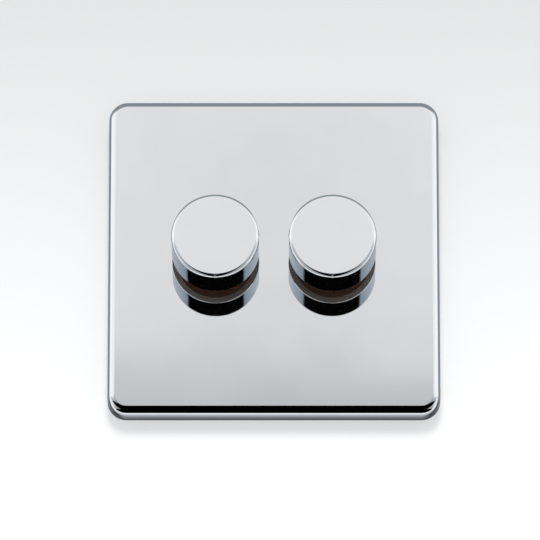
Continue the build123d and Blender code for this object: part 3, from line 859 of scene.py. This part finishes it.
@dataclass
class BoxScrews:
    """The two box screws, with slotted heads and a cut thread."""

    low: Vector
    high: Vector
    head_radius: float = 3.5 * MM
    head_round: float = 0.7 * MM
    head_steps: int = 6
    neck_radius: float = 1.5 * MM
    yoke: float = 1.2 * MM
    core_radius: float = 1.42 * MM
    tip_length: float = 0.5 * MM
    tip_share: float = 0.7
    thread_radius: float = 1.75 * MM
    thread_pitch: float = 0.6 * MM
    thread_lead: float = 0.9 * MM
    thread_runout: float = 0.5 * MM
    root_sink: float = 0.05 * MM
    root_share: float = 0.42
    crest_share: float = 0.2
    slot_width: float = 0.8 * MM
    slot_depth: float = 0.7 * MM
    slot_reach: float = 1.1
    steps: int = 48

    @property
    def places(self) -> list[Vector]:
        """Points on the axes of the two screws, on the wall plane."""
        ends = (self.low.x + self.head_radius, self.high.x - self.head_radius)
        return [Vector((end, 0.0, 0.0)) for end in ends]

    def body(self, bm: bmesh.types.BMesh, place: Vector) -> None:
        """Spin the head, the neck and the core of one screw.

        Args:
            bm: Mesh to add to.
            place: A point on the axis of the screw.
        """
        top = -self.low.y
        end = -self.high.y
        crown = (self.head_radius - self.head_round, top - self.head_round)
        points = [
            (0.0, end),
            (self.core_radius * self.tip_share, end),
            (self.core_radius, end + self.tip_length),
            (self.core_radius, 0.0),
            (self.neck_radius, 0.0),
            (self.neck_radius, self.yoke),
            (self.head_radius, self.yoke),
            *arc(crown, self.head_round, 0.0, 90.0, self.head_steps),
            (0.0, top),
        ]
        spun_profile(bm, points, place, self.steps)

    def thread(self, bm: bmesh.types.BMesh, place: Vector) -> None:
        """Wind the thread ridge round the core of one screw.

        Args:
            bm: Mesh to add to.
            place: A point on the axis of the screw.
        """
        start = -self.high.y + self.thread_lead
        turns = int((-self.thread_runout - start) / self.thread_pitch)
        root = self.core_radius - self.root_sink
        half_root = self.thread_pitch * self.root_share
        half_crest = half_root * self.crest_share
        corners = [
            (root, start - half_root),
            (self.thread_radius, start - half_crest),
            (self.thread_radius, start + half_crest),
            (root, start + half_root),
        ]
        verts = [bm.verts.new((place.x + radius, -forward, place.z)) for radius, forward in corners]
        section = bmesh.ops.contextual_create(bm, geom=verts)["faces"]
        wound_section(bm, section, place, self.thread_pitch, turns, self.steps)
        LOG.info("box_screws: thread of %d turns", turns)

    def cut_slots(self, piece: bpy.types.Object) -> None:
        """Cut the screwdriver slots with one boolean and apply it.

        Args:
            piece: The screws.
        """
        bm = bmesh.new()
        reach = 2.0 * self.head_radius * self.slot_reach
        size = Matrix.Diagonal((reach, 2.0 * self.slot_depth, self.slot_width, 1.0))
        for place in self.places:
            top = Matrix.Translation((place.x, self.low.y, place.z))
            bmesh.ops.create_cube(bm, size=1.0, matrix=top @ size)
        cutter = piece_from(bm, "slot_cutter", ZINC_SCREW)
        cut = piece.modifiers.new("slots", "BOOLEAN")
        cut.object = cutter
        cut.operation = "DIFFERENCE"
        cut.solver = "EXACT"
        settle(piece)
        bpy.data.objects.remove(cutter)

    def build(self) -> bpy.types.Object:
        """Make both screws.

        Returns:
            The piece that stands for the CAD screws.
        """
        bodies = bmesh.new()
        for place in self.places:
            self.body(bodies, place)
        piece = piece_from(bodies, "box_screws", ZINC_SCREW)
        self.cut_slots(piece)
        whole = bmesh.new()
        whole.from_mesh(piece.data)
        for place in self.places:
            self.thread(whole, place)
        bmesh.ops.recalc_face_normals(whole, faces=whole.faces[:])
        whole.to_mesh(piece.data)
        whole.free()
        place_on(piece, ROOT_BODY, "fixing_screws")
        return piece


@dataclass
class ReturnSpring:
    """The coil spring that pushes one knob out again, wound from round wire."""

    side: str
    low: Vector
    high: Vector
    wire: float = 0.5 * MM
    turns: int = 3
    wire_steps: int = 12
    turn_steps: int = 40

    def coil(self) -> bmesh.types.BMesh:
        """Wind the wire inside the box of its CAD node.

        Returns:
            The mesh of the coil.
        """
        bm = bmesh.new()
        axis = middle_axis(self.low, self.high)
        radius = (self.high.x - self.low.x - self.wire) / 2
        pitch = (self.high.y - self.low.y - self.wire) / self.turns
        foot = Matrix.Translation((axis.x + radius, self.high.y - self.wire / 2, axis.z))
        bmesh.ops.create_circle(
            bm, cap_ends=True, radius=self.wire / 2, segments=self.wire_steps, matrix=foot
        )
        wound_section(bm, bm.faces[:], axis, pitch, self.turns, self.turn_steps)
        bmesh.ops.recalc_face_normals(bm, faces=bm.faces[:])
        return bm

    def build(self, travel: float) -> bpy.types.Object:
        """Make the spring.

        Args:
            travel: How far the knob goes in; not used.

        Returns:
            The piece that stands for the CAD spring.
        """
        piece = piece_from(self.coil(), f"{self.side}_coil_spring", SPRING_STEEL)
        place_on(piece, ROOT_BODY, f"{self.side}_return_spring")
        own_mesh(piece)
        return piece


def dress_nodes(frame: dict) -> None:
    """Give every carried-over CAD node the finish of its material slot.
    """
    for entry in frame["record"]["subparts"]:
        finish = SLOT_FINISH[entry["material_slot"]]
        slots = frame["nodes"][entry["node"]].data.materials
        slots.clear()
        slots.append(finish.material())
        LOG.info("%s: %s", entry["node"], finish.name)


Stop = tuple[float, Colour]

BLACK: Colour = (0.001, 0.001, 0.001)
DIM: Colour = (0.22, 0.225, 0.235)
DUSK: Colour = (0.28, 0.29, 0.30)
STRIP: Colour = (0.60, 0.61, 0.63)
CANOPY: Colour = (0.86, 0.87, 0.88)
HAZE: Colour = (0.94, 0.95, 0.96)
LAMP_LIT: Colour = (1.06, 1.06, 1.07)
PANE: Colour = (0.98, 0.99, 1.0)
PANE_BRIGHT: Colour = (1.15, 1.15, 1.16)
CEILING: Colour = (0.27, 0.30, 0.325)

LOW_ROOM: tuple[Stop, ...] = (
    (-90.0, DIM),
    (-28.0, DIM),
    (-25.0, BLACK),
    (-2.6, BLACK),
    (-2.0, STRIP),
    (2.0, STRIP),
    (2.6, BLACK),
)
PALE_CARD: tuple[Stop, ...] = (
    (11.0, BLACK),
    (12.5, DUSK),
    (18.45, (0.54, 0.56, 0.585)),
    (18.67, (0.79, 0.805, 0.825)),
    (18.92, (0.85, 0.86, 0.88)),
    (19.4, (0.87, 0.875, 0.895)),
    (20.25, (0.875, 0.885, 0.91)),
    (20.9, (0.92, 0.935, 0.965)),
    (36.0, CANOPY),
)
MIDDLE_CARD: tuple[Stop, ...] = (
    (11.5, BLACK),
    (13.0, DUSK),
    (18.5, (0.53, 0.55, 0.57)),
    (18.67, (0.70, 0.715, 0.735)),
    (18.92, (0.80, 0.81, 0.825)),
    (19.27, (0.86, 0.862, 0.875)),
    (20.25, (0.83, 0.835, 0.855)),
    (20.9, (0.90, 0.91, 0.93)),
    (36.0, CANOPY),
)
OVERHEAD: tuple[Stop, ...] = ((50.0, CEILING), (90.0, CEILING))


@dataclass(frozen=True)
class Sector:
    """Colour of the room by elevation in degrees, which fades in over a range of azimuth from the front."""

    start: float
    end: float
    stops: tuple[Stop, ...]


FRONT = Sector(0.0, 0.0, (*LOW_ROOM, *MIDDLE_CARD, *OVERHEAD))
FLANK = Sector(0.35, 1.4, (*LOW_ROOM, *PALE_CARD, *OVERHEAD))
SHADE = Sector(1.5, 1.9, ((-90.0, BLACK), *PALE_CARD, *OVERHEAD))
OBLIQUE = Sector(
    7.0,
    13.0,
    (
        (-90.0, BLACK),
        (-4.0, BLACK),
        (-2.0, (0.27, 0.335, 0.39)),
        (8.0, (0.40, 0.45, 0.51)),
        (17.0, (0.50, 0.55, 0.61)),
        (18.5, HAZE),
        (36.0, HAZE),
        *OVERHEAD,
    ),
)
GLOWING = Sector(
    20.0,
    26.0,
    (
        (-90.0, (0.36, 0.37, 0.39)),
        (-20.0, (0.42, 0.44, 0.46)),
        (0.0, (0.46, 0.50, 0.54)),
        (9.0, (0.50, 0.55, 0.60)),
        (14.0, LAMP_LIT),
        (36.0, LAMP_LIT),
        *OVERHEAD,
    ),
)
WINDOW = Sector(
    54.0,
    66.0,
    (
        (-90.0, (0.34, 0.35, 0.37)),
        (-34.0, (0.40, 0.42, 0.44)),
        (-24.0, (0.92, 0.93, 0.95)),
        (14.0, PANE),
        (18.5, PANE_BRIGHT),
        (20.5, PANE_BRIGHT),
        (26.0, PANE),
        (36.0, (0.90, 0.91, 0.93)),
        *OVERHEAD,
    ),
)
BESIDE = Sector(
    88.0,
    98.0,
    (
        (-90.0, (0.20, 0.21, 0.22)),
        (-20.0, (0.24, 0.26, 0.29)),
        (0.0, (0.30, 0.34, 0.39)),
        (20.0, (0.36, 0.41, 0.475)),
        (90.0, CEILING),
    ),
)
BEHIND = Sector(
    112.0,
    132.0,
    (
        (-90.0, (0.34, 0.34, 0.34)),
        (0.0, (0.62, 0.62, 0.62)),
        (45.0, (0.95, 0.95, 0.95)),
        (90.0, (0.45, 0.45, 0.46)),
    ),
)


@dataclass(frozen=True)
class Lamp:
    """A soft square lamp that looks at the plate and isn't mirrored in it."""

    name: str
    place: tuple[float, float, float]
    width: float
    watts: float

    def hang(self) -> None:
        """Put the lamp in the scene."""
        data = bpy.data.lights.new(self.name, "AREA")
        data.size = self.width
        data.energy = self.watts
        lamp = bpy.data.objects.new(self.name, data)
        lamp.location = self.place
        lamp.rotation_euler = (-Vector(self.place)).to_track_quat("-Z", "Y").to_euler()
        lamp.visible_glossy = False
        bpy.context.scene.collection.objects.link(lamp)


LAMPS = (
    Lamp("lamp_above", (0.0, -1.0, 0.75), width=0.4, watts=12.0),
    Lamp("lamp_behind", (0.3, 0.7, 0.5), width=0.6, watts=4.5),
)


@dataclass
class Studio:
    """Wall, floor, black card, lights and camera, in metres and degrees."""

    distance: float = 2.0
    elevation: float = -19.52
    focal_pixels: float = 7686.0
    frame_pixels: float = 540.0
    sensor: float = 36.0
    aim: tuple[float, float, float] = (-1.0 * MM, 0.0, -1.8 * MM)
    room_pale: Colour = (0.9, 0.9, 0.9)
    wall_gap: float = 0.3 * MM
    wall_reach: float = 2.0
    opening: tuple[float, float] = (37.0 * MM, 36.0 * MM)
    floor_level: float = -0.75
    floor_reach: float = 5.0
    floor_cells: float = 2.0
    floor_octaves: float = 2.0
    floor_pale: Colour = (0.92, 0.92, 0.92)
    floor_deep: Colour = (0.89, 0.89, 0.89)
    # Between these heights the wall is painted darker towards the top: painted shade on the backdrop.
    shade_ramp_low: float = -75.0 * MM
    shade_ramp_high: float = 115.0 * MM
    paint_pale: Colour = (0.93, 0.93, 0.93)
    painted_shade_top: Colour = (0.633, 0.633, 0.633)
    paint_glow: float = 0.5
    card_edge: float = -43.0 * MM
    # Mirrors and other rays see the wall as a glow by height over the plate's lower edge: painted light
    # well below it, painted shade darkening towards it, a painted contact shadow where the wall meets it
    # and grey behind the plate.
    card_light_reach: tuple[float, float] = (-18.0 * MM, -11.0 * MM)
    card_shade_reach: tuple[float, float] = (-8.0 * MM, -1.0 * MM)
    card_shadow_reach: tuple[float, float] = (-2.4 * MM, 0.0)
    card_rise: tuple[float, float] = (0.0, 6.0 * MM)
    card_painted_light: Colour = (1.25, 1.25, 1.25)
    card_pale: Colour = (0.84, 0.86, 0.89)
    card_painted_shade: Colour = (0.52, 0.54, 0.57)
    card_painted_shadow: Colour = (0.08, 0.08, 0.085)
    card_grey: Colour = (0.27, 0.31, 0.35)
    flag_back: float = 3.9 * MM
    flag_front: float = 12.0 * MM
    flag_drop: float = 5.0 * MM
    flag_lip: float = 8.5 * MM
    flag_half: float = 75.0 * MM
    flag_near: float = 9.5 * MM

    def world(self) -> None:
        """Set the light of the room by direction, pale where the camera looks past everything."""
        world = bpy.data.worlds.new("studio_room")
        bpy.context.scene.world = world
        world.use_nodes = True
        sheet = NodeSheet(world.node_tree)
        parts = sheet.add("ShaderNodeSeparateXYZ")
        sheet.join(sheet.add("ShaderNodeTexCoord").outputs["Generated"], parts.inputs[0])
        forward = sheet.math("MULTIPLY", parts.outputs["Y"], -1.0)
        turn = sheet.math("ABSOLUTE", sheet.math("ARCTAN2", parts.outputs["X"], forward))
        height = sheet.math("ARCSINE", parts.outputs["Z"])
        share = sheet.math("ADD", sheet.math("MULTIPLY", height, 1.0 / math.pi), 0.5)
        colour = self.ramp(sheet, share, FRONT)
        for sector in (FLANK, SHADE, OBLIQUE, GLOWING, WINDOW, BESIDE, BEHIND):
            inside = sheet.spread(turn, (math.radians(sector.start), math.radians(sector.end)))
            colour = sheet.mix(inside, colour, self.ramp(sheet, share, sector))
        seen = sheet.add("ShaderNodeLightPath").outputs["Is Camera Ray"]
        back = sheet.add("ShaderNodeBackground")
        sheet.join(sheet.mix(seen, colour, self.room_pale), back.inputs["Color"])
        sheet.join(back.outputs[0], sheet.add("ShaderNodeOutputWorld").inputs["Surface"])

    def ramp(self, sheet: NodeSheet, share: bpy.types.NodeSocket, sector: Sector) -> bpy.types.NodeSocket:
        """Make the colour ramp of one sector.

        Args:
            sheet: Node tree to add to.
            share: Elevation, from 0 straight down to 1 straight up.
            sector: The sector.

        Returns:
            The colour by elevation.
        """
        node = sheet.add("ShaderNodeValToRGB")
        elements = node.color_ramp.elements
        while len(elements) > 1:
            elements.remove(elements[-1])
        for index, (elevation, colour) in enumerate(sector.stops):
            position = (elevation + 90.0) / 180.0
            stop = elements[0] if index == 0 else elements.new(position)
            stop.position = position
            stop.color = (*colour, 1.0)
        sheet.join(share, node.inputs[0])
        return node.outputs[0]

    def stage_object(
        self, name: str, bm: bmesh.types.BMesh, material: bpy.types.Material
    ) -> bpy.types.Object:
        """Make an object of the stage.

        Args:
            name: Name of the object.
            bm: Its mesh, which is freed.
            material: Its material.

        Returns:
            The object.
        """
        mesh = bpy.data.meshes.new(name)
        bm.to_mesh(mesh)
        bm.free()
        mesh.materials.append(material)
        made = bpy.data.objects.new(name, mesh)
        bpy.context.scene.collection.objects.link(made)
        return made

    def pale_paint(self, sheet: NodeSheet, tone: bpy.types.NodeSocket) -> bpy.types.NodeSocket:
        """Mix a matt paint with a glow of the same tone, so that it looks pale and keeps shadows.

        Args:
            sheet: Node tree to add to.
            tone: Colour of the paint.

        Returns:
            The mixed shader.
        """
        paint = sheet.add("ShaderNodeBsdfDiffuse")
        sheet.join(tone, paint.inputs["Color"])
        return sheet.either(self.paint_glow, paint.outputs[0], sheet.glow(tone))

    def one_sided(self, sheet: NodeSheet, front: bpy.types.NodeSocket) -> bpy.types.NodeSocket:
        """Show a shader from the front and let everything through from behind.

        Args:
            sheet: Node tree to add to.
            front: Shader of the front.

        Returns:
            The mixed shader.
        """
        behind = sheet.add("ShaderNodeNewGeometry").outputs["Backfacing"]
        return sheet.either(behind, front, sheet.add("ShaderNodeBsdfTransparent").outputs[0])

    def painted_reflection_tone(self, sheet: NodeSheet, height: bpy.types.NodeSocket) -> bpy.types.NodeSocket:
        """Tone of the wall as mirrors and other rays see it, a glow with painted light well below the
        plate, painted shade darkening towards it, a painted contact shadow where it touches and grey behind
        it.

        Args:
            sheet: Node tree to add to.
            height: Height on the wall.

        Returns:
            The colour by height.
        """
        over_edge = sheet.math("SUBTRACT", height, self.card_edge)
        # Painted light well below the plate, then painted shade and a painted contact shadow at its lower
        # edge, then grey behind it.
        below = sheet.mix(sheet.spread(over_edge, self.card_light_reach), self.card_painted_light, self.card_pale)
        with_painted_shade = sheet.mix(sheet.spread(over_edge, self.card_shade_reach), below, self.card_painted_shade)
        with_painted_shadow = sheet.mix(sheet.spread(over_edge, self.card_shadow_reach), with_painted_shade, self.card_painted_shadow)
        return sheet.mix(sheet.spread(over_edge, self.card_rise), with_painted_shadow, self.card_grey)

    def wall_paint(self) -> bpy.types.Material:
        """Paint for the wall: pale to the camera with painted shade darker towards the top, a glow with
        painted light and a painted contact shadow to mirrors and other rays, and clear from behind.

        Returns:
            The material of the wall.
        """
        made, sheet = blank_material("studio_wall_paint")
        parts = sheet.add("ShaderNodeSeparateXYZ")
        sheet.join(sheet.add("ShaderNodeTexCoord").outputs["Object"], parts.inputs[0])
        # Camera rays see the paint with painted shade darker towards the top; other rays see the glow with
        # painted light and a painted contact shadow.
        height = sheet.spread(parts.outputs["Z"], (self.shade_ramp_low, self.shade_ramp_high))
        paint = self.pale_paint(sheet, sheet.mix(height, self.paint_pale, self.painted_shade_top))
        card = sheet.glow(self.painted_reflection_tone(sheet, parts.outputs["Z"]))
        seen = sheet.add("ShaderNodeLightPath").outputs["Is Camera Ray"]
        sheet.surface(self.one_sided(sheet, sheet.either(seen, card, paint)))
        return made

    def wall(self) -> None:
        """Stand a plain wall just behind the plate, with an opening for the box."""
        bm = bmesh.new()
        place = Matrix.Translation((0.0, self.wall_gap, 0.0)) @ UPRIGHT
        bmesh.ops.create_grid(bm, x_segments=1, y_segments=1, size=self.wall_reach, matrix=place)
        for axis, reach in (((1.0, 0.0, 0.0), self.opening[0]), ((0.0, 0.0, 1.0), self.opening[1])):
            for side in BOTH_SIDES:
                bmesh.ops.bisect_plane(
                    bm,
                    geom=[*bm.verts, *bm.edges, *bm.faces],
                    plane_co=Vector(axis) * reach * side,
                    plane_no=axis,
                )
        middle = min(bm.faces, key=lambda face: face.calc_center_median().length)
        bmesh.ops.delete(bm, geom=[middle], context="FACES_ONLY")
        self.stage_object("studio_wall", bm, self.wall_paint())

    def floor(self) -> None:
        """Lay a plain pale floor well below the plate."""
        paint, sheet = blank_material("studio_floor_paint")
        place = sheet.add("ShaderNodeTexCoord").outputs["Object"]
        shade = sheet.spread(sheet.noise(place, self.floor_cells, self.floor_octaves), TINT_SPAN)
        tone = sheet.mix(shade, self.floor_deep, self.floor_pale)
        sheet.surface(self.one_sided(sheet, self.pale_paint(sheet, tone)))
        bm = bmesh.new()
        level = Matrix.Translation((0.0, 0.0, self.floor_level))
        bmesh.ops.create_grid(bm, x_segments=1, y_segments=1, size=self.floor_reach, matrix=level)
        made = self.stage_object("studio_floor", bm, paint)
        made.visible_glossy = False

    def flag_paint(self) -> bpy.types.Material:
        """Black for mirrors close by and clear for all that is further away.

        Returns:
            The material of the black card.
        """
        made, sheet = blank_material("studio_flag_paint")
        length = sheet.add("ShaderNodeLightPath").outputs["Ray Length"]
        near = sheet.math("LESS_THAN", length, self.flag_near)
        clear = sheet.add("ShaderNodeBsdfTransparent").outputs[0]
        black = sheet.add("ShaderNodeEmission")
        black.inputs["Strength"].default_value = 0.0
        sheet.surface(sheet.either(near, clear, black.outputs[0]))
        return made

    def flag(self) -> None:
        """Set a black card with a lip under the plate, which only the rolled lower edge mirrors: a painted
        dark reflection, unseen by the camera and casting no shadow.
        """
        bm = bmesh.new()
        depth = self.flag_front - self.flag_back
        middle = (0.0, -self.flag_back - depth / 2, self.card_edge - self.flag_drop)
        size = Matrix.Diagonal((self.flag_half, depth / 2, 1.0, 1.0))
        place = Matrix.Translation(middle) @ size
        bmesh.ops.create_grid(bm, x_segments=1, y_segments=1, size=1.0, matrix=place)
        front = min(bm.edges, key=lambda edge: edge.verts[0].co.y + edge.verts[1].co.y)
        lip = bmesh.ops.extrude_edge_only(bm, edges=[front])["geom"]
        raised = [item for item in lip if isinstance(item, bmesh.types.BMVert)]
        bmesh.ops.translate(bm, verts=raised, vec=(0.0, 0.0, self.flag_lip))
        made = self.stage_object("studio_flag", bm, self.flag_paint())
        # Only near mirror rays see the card, so it paints a dark reflection on the plate's lower edge.
        made.visible_camera = False
        made.visible_diffuse = False
        made.visible_shadow = False

    def camera(self) -> None:
        """Set the camera below the plate, looking up at it as the photograph does."""
        data = bpy.data.cameras.new("camera")
        data.sensor_width = self.sensor
        data.lens = self.focal_pixels / self.frame_pixels * self.sensor
        tilt = math.radians(self.elevation)
        back = Vector((0.0, -math.cos(tilt), math.sin(tilt)))
        camera = bpy.data.objects.new("camera", data)
        camera.location = Vector(self.aim) + back * self.distance
        camera.rotation_euler = (-back).to_track_quat("-Z", "Y").to_euler()
        bpy.context.scene.collection.objects.link(camera)
        bpy.context.scene.camera = camera

    def build(self) -> None:
        """Set up the whole studio."""
        bpy.context.scene.view_settings.view_transform = "Standard"
        self.world()
        self.wall()
        self.floor()
        self.flag()
        for lamp in LAMPS:
            lamp.hang()
        self.camera()


def main() -> None:
    """Load the frame, build each piece, dress the rest and set up the studio."""
    logging.basicConfig(level=logging.INFO, format="%(name)s %(message)s")
    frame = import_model()
    joints = {joint["name"]: joint for joint in frame["joints"]}
    sides = ("left", "right")
    dress_nodes(frame)
    shafts = [Vector(joints[f"{side}_turn"]["pos_m"]) for side in sides]
    CoverPlate(*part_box("cover_plate"), shafts).build()
    for side in sides:
        KnobCap(side, *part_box(f"{side}_knob_cap")).build()
        travel = joints[f"{side}_push"]["range_m"][1]
        ReturnSpring(side, *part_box(f"{side}_return_spring")).build(travel)
    BoxScrews(*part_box("fixing_screws")).build()
    Studio().build()


if __name__ == "__main__":
    main()
